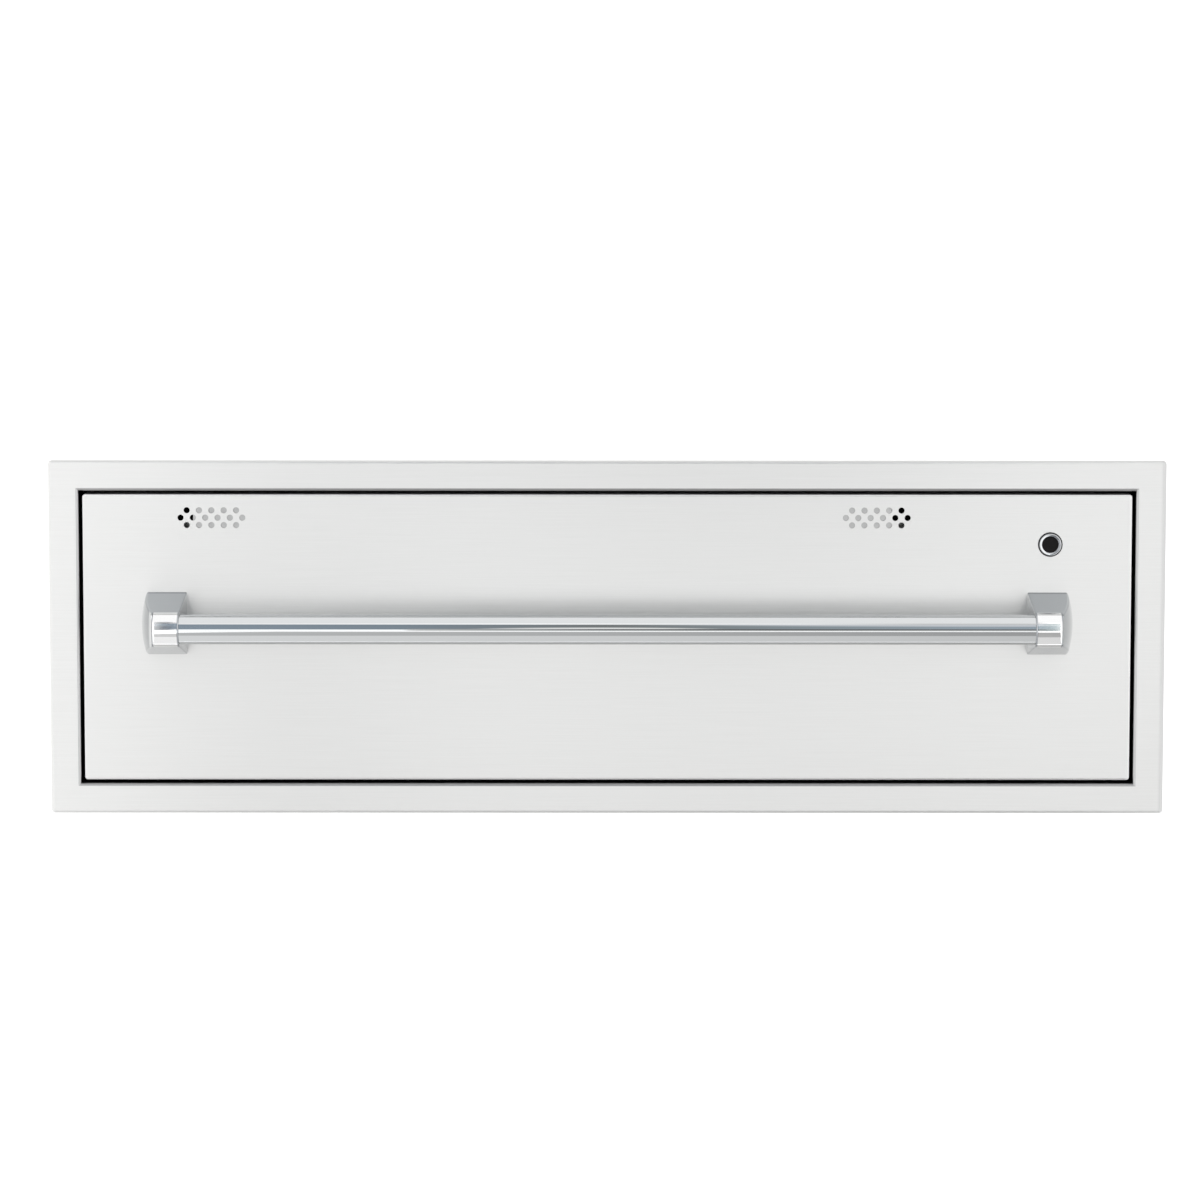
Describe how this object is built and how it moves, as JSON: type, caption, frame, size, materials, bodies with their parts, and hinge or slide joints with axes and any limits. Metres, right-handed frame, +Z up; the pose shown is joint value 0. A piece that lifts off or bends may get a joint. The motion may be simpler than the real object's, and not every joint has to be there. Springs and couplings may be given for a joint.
{
  "type": "built-in warming drawer",
  "caption": "Wide stainless warming drawer for building in: trim frame, insulated casing, bar handle, sliding vents, push switch and full-extension ball slides.",
  "frame": {"origin": "middle of the cut-out opening, in the plane where the trim frame's back meets the wall", "axes": "+X to the right seen from the front, +Y into the wall, +Z up"},
  "size_m": [0.9144, 0.6333, 0.2908],
  "materials": {
    "brushed_stainless": "stainless sheet with a fine horizontal brush",
    "polished_steel": "polished stainless steel",
    "cast_handle": "polished casting",
    "galvanised": "galvanised sheet with a matt spangle",
    "liner_steel": "plain stainless sheet",
    "pan_steel": "satin stainless sheet",
    "zinc_slide": "zinc-plated rolled steel",
    "ball_steel": "ground bearing steel",
    "wire_chrome": "chromed wire",
    "screw_steel": "plain stainless",
    "element_sheath": "dark oxidised sheath",
    "wool": "mineral wool",
    "silicone": "black silicone",
    "black_plastic": "fine-grained black plastic",
    "dial_plate": "satin anodised",
    "white_ceramic": "unglazed steatite",
    "copper_bulb": "nickel-washed copper"
  },
  "bodies": {
    "cabinet": {"trim_frame": "brushed_stainless", "casing_wrap": "galvanised", "casing_lid": "galvanised", "casing_back": "galvanised", "casing_screws": "screw_steel", "cavity_liner": "liner_steel", "insulation_top": "wool", "insulation_bottom": "wool", "insulation_sides": "wool", "insulation_rear": "wool", "limit_thermostat": "white_ceramic", "heating_element": "element_sheath", "element_clips": "liner_steel", "terminal_box": "galvanised", "cable_inlet": "black_plastic", "terminal_block": "white_ceramic", "slide_outer_left": "zinc_slide", "slide_outer_right": "zinc_slide", "slide_rivets": "zinc_slide"},
    "drawer": {"front_skin": "brushed_stainless", "front_inner_panel": "liner_steel", "front_gasket": "silicone", "front_insulation": "wool", "front_screws": "screw_steel", "vent_duct_left": "galvanised", "vent_duct_right": "galvanised", "handle_bar": "polished_steel", "handle_post_left": "cast_handle", "handle_post_right": "cast_handle", "handle_backings": "galvanised", "handle_screws": "screw_steel", "switch_bezel": "polished_steel", "switch_nut": "screw_steel", "switch_body": "black_plastic", "thermostat_body": "black_plastic", "thermostat_dial": "dial_plate", "sensor_bulb": "copper_bulb", "bulb_clips": "screw_steel", "drawer_pan": "pan_steel", "wire_rack": "wire_chrome", "slide_drawer_left": "zinc_slide", "slide_drawer_right": "zinc_slide", "slide_screws": "screw_steel"},
    "slide_middle_left": {"slide_middle_left": "zinc_slide"},
    "slide_middle_right": {"slide_middle_right": "zinc_slide"},
    "cage_outer_left": {"cage_outer_left": "screw_steel", "balls_outer_left": "ball_steel"},
    "cage_outer_right": {"cage_outer_right": "screw_steel", "balls_outer_right": "ball_steel"},
    "cage_inner_left": {"cage_inner_left": "screw_steel", "balls_inner_left": "ball_steel"},
    "cage_inner_right": {"cage_inner_right": "screw_steel", "balls_inner_right": "ball_steel"},
    "damper_left": {"damper_left": "brushed_stainless", "damper_knob_left": "black_plastic"},
    "damper_right": {"damper_right": "brushed_stainless", "damper_knob_right": "black_plastic"},
    "switch_button": {"switch_button": "black_plastic"},
    "thermostat_knob": {"thermostat_knob": "black_plastic", "thermostat_shaft": "screw_steel"}
  },
  "joints": [
    {"name": "drawer_slide", "type": "slide", "parent": "cabinet", "child": "drawer", "axis": [0, -1, 0], "range_m": [0, 0.46]},
    {"name": "slide_middle_left_slide", "type": "slide", "parent": "cabinet", "child": "slide_middle_left", "axis": [0, -1, 0], "range_m": [0, 0.23]},
    {"name": "cage_outer_left_slide", "type": "slide", "parent": "cabinet", "child": "cage_outer_left", "axis": [0, -1, 0], "range_m": [0, 0.115]},
    {"name": "cage_inner_left_slide", "type": "slide", "parent": "cabinet", "child": "cage_inner_left", "axis": [0, -1, 0], "range_m": [0, 0.345]},
    {"name": "slide_middle_right_slide", "type": "slide", "parent": "cabinet", "child": "slide_middle_right", "axis": [0, -1, 0], "range_m": [0, 0.23]},
    {"name": "cage_outer_right_slide", "type": "slide", "parent": "cabinet", "child": "cage_outer_right", "axis": [0, -1, 0], "range_m": [0, 0.115]},
    {"name": "cage_inner_right_slide", "type": "slide", "parent": "cabinet", "child": "cage_inner_right", "axis": [0, -1, 0], "range_m": [0, 0.345]},
    {"name": "damper_left_slide", "type": "slide", "parent": "drawer", "child": "damper_left", "axis": [1, 0, 0], "range_m": [-0.0144, 0.0446]},
    {"name": "damper_right_slide", "type": "slide", "parent": "drawer", "child": "damper_right", "axis": [-1, 0, 0], "range_m": [-0.0172, 0.0418]},
    {"name": "switch_press", "type": "slide", "parent": "drawer", "child": "switch_button", "axis": [0, 1, 0], "range_m": [0, 0.002], "stiffness_N_per_m": 400},
    {"name": "thermostat_turn", "type": "hinge", "parent": "drawer", "child": "thermostat_knob", "pos_m": [0.33, 0.018, 0.092], "axis": [0, -1, 0], "range_deg": [-270, 0]}
  ],
  "couplings": [
    {"joint": "slide_middle_left_slide", "follows": "drawer_slide", "ratio": 0.5},
    {"joint": "cage_outer_left_slide", "follows": "drawer_slide", "ratio": 0.25},
    {"joint": "cage_inner_left_slide", "follows": "drawer_slide", "ratio": 0.75},
    {"joint": "slide_middle_right_slide", "follows": "drawer_slide", "ratio": 0.5},
    {"joint": "cage_outer_right_slide", "follows": "drawer_slide", "ratio": 0.25},
    {"joint": "cage_inner_right_slide", "follows": "drawer_slide", "ratio": 0.75}
  ]
}
